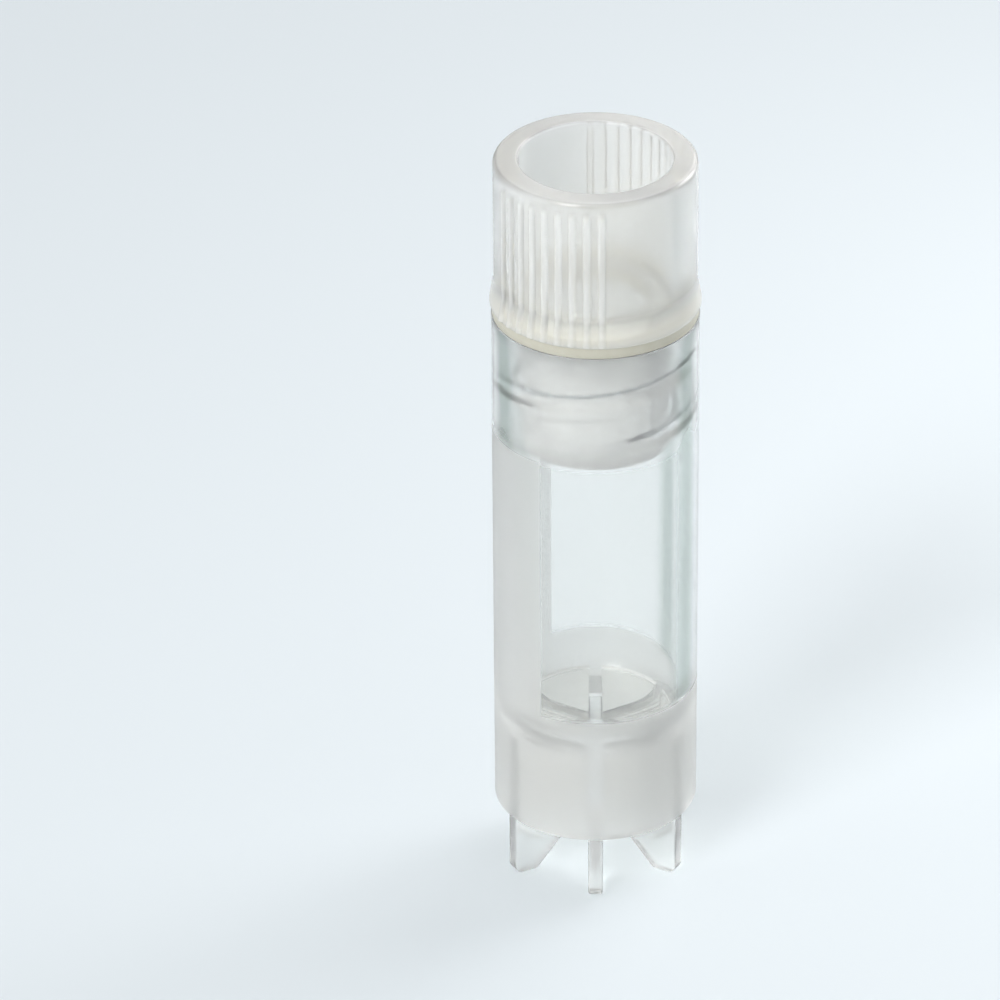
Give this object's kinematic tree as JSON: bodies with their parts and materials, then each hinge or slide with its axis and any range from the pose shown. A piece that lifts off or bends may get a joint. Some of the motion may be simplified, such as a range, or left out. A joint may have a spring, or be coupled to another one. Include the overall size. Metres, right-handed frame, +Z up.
{
  "type": "cryovial",
  "caption": "Self-standing internal-thread cryovial: clear tube on a star foot, ribbed hollow screw cap with a threaded plug, and a soft seal ring under its flange.",
  "frame": {"origin": "centre of the star foot, on the bench plane", "axes": "+Z up along the vial's axis; +Y runs from the fin at the front, on -Y, to the fin at the back"},
  "size_m": [0.013, 0.0132, 0.049],
  "materials": {
    "tube_polypropylene": "clear moulded polypropylene; the skirt and a writing panel along one flank are blasted matt",
    "cap_polypropylene": "natural translucent moulded polypropylene",
    "seal_silicone": "matte cream silicone"
  },
  "bodies": {
    "vial": {"tube": "tube_polypropylene"},
    "seal": {"seal_ring": "seal_silicone"},
    "cap": {"screw_cap": "cap_polypropylene"}
  },
  "joints": [
    {"name": "cap_lift", "type": "slide", "parent": "vial", "child": "seal", "axis": [0, 0, 1], "range_m": [0, 0.0119]},
    {"name": "cap_turn", "type": "hinge", "parent": "seal", "child": "cap", "pos_m": [0, 0, 0.0393], "axis": [0, 0, 1], "range_deg": [0, 1260]}
  ],
  "couplings": [
    {"joint": "cap_turn", "follows": "cap_lift", "rad_per_m": 1848}
  ]
}
